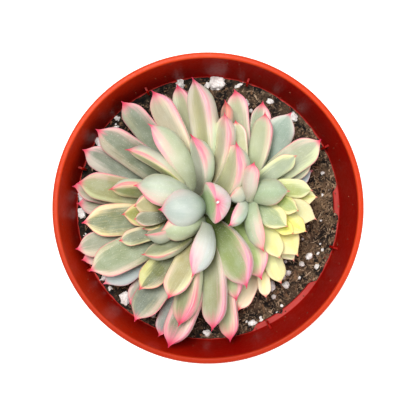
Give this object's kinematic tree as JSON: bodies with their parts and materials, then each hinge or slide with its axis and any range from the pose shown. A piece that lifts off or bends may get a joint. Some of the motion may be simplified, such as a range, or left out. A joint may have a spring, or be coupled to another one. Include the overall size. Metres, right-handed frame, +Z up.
{
  "type": "potted succulent",
  "caption": "Variegated rosette succulent with fat, pink-edged leaves, grown as two leaning heads in a round terracotta-coloured plastic nursery pot filled with potting mix.",
  "frame": {"origin": "centre of the pot's foot, on the surface it stands on", "axes": "+Z up the pot's axis; -X is the side the larger rosette leans to, +X the side of the smaller one; +Y is the top of the view from above"},
  "size_m": [0.108, 0.108, 0.102],
  "materials": {
    "pot": "satin moulded plastic",
    "potting_mix": "damp peat and bark crumb with white perlite",
    "stem": "soft succulent skin",
    "leaf_west": "waxy bloom over soft skin, pink margins",
    "bud": "waxy bloom over soft skin, pink margins",
    "leaf_north": "waxy bloom over soft skin, pink margins",
    "leaf_inner": "waxy bloom over soft skin, pink margins",
    "leaf_southeast": "waxy bloom over soft skin, pink margins",
    "leaf_southwest": "waxy bloom over soft skin, pink margins",
    "leaf_south": "waxy bloom over soft skin, pink margins",
    "leaf_northeast": "waxy bloom over soft skin, pink margins",
    "leaf_east": "waxy bloom over soft skin, pink margins"
  },
  "bodies": {
    "root": {"pot": "pot", "potting_mix": "potting_mix", "stem": "stem", "leaf_west_01": "leaf_west", "leaf_west_02": "leaf_west", "leaf_west_03": "leaf_west", "leaf_west_04": "leaf_west", "leaf_west_05": "leaf_west", "leaf_west_06": "leaf_west", "leaf_west_07": "leaf_west", "leaf_west_08": "leaf_west", "bud_left": "bud", "leaf_west_09": "leaf_west", "leaf_west_10": "leaf_west", "leaf_north_01": "leaf_north", "leaf_north_02": "leaf_north", "leaf_north_03": "leaf_north", "leaf_north_04": "leaf_north", "leaf_north_05": "leaf_north", "leaf_north_06": "leaf_north", "leaf_north_07": "leaf_north", "leaf_north_08": "leaf_north", "leaf_inner_01": "leaf_inner", "leaf_inner_02": "leaf_inner", "leaf_inner_03": "leaf_inner", "leaf_inner_04": "leaf_inner", "leaf_inner_05": "leaf_inner", "leaf_inner_06": "leaf_inner", "leaf_southeast_01": "leaf_southeast", "leaf_southeast_02": "leaf_southeast", "leaf_southeast_03": "leaf_southeast", "leaf_southeast_04": "leaf_southeast", "leaf_southwest_01": "leaf_southwest", "leaf_southwest_02": "leaf_southwest", "leaf_southwest_03": "leaf_southwest", "leaf_south_01": "leaf_south", "leaf_south_02": "leaf_south", "leaf_south_03": "leaf_south", "leaf_south_04": "leaf_south", "leaf_south_05": "leaf_south", "leaf_northeast_01": "leaf_northeast", "leaf_northeast_02": "leaf_northeast", "leaf_northeast_03": "leaf_northeast", "leaf_northeast_04": "leaf_northeast", "leaf_east_01": "leaf_east", "leaf_east_02": "leaf_east", "leaf_east_03": "leaf_east", "leaf_east_04": "leaf_east", "bud_right": "bud", "leaf_east_05": "leaf_east", "leaf_east_06": "leaf_east", "leaf_east_07": "leaf_east", "leaf_east_08": "leaf_east", "leaf_east_09": "leaf_east", "leaf_east_10": "leaf_east", "leaf_east_11": "leaf_east"}
  },
  "joints": []
}
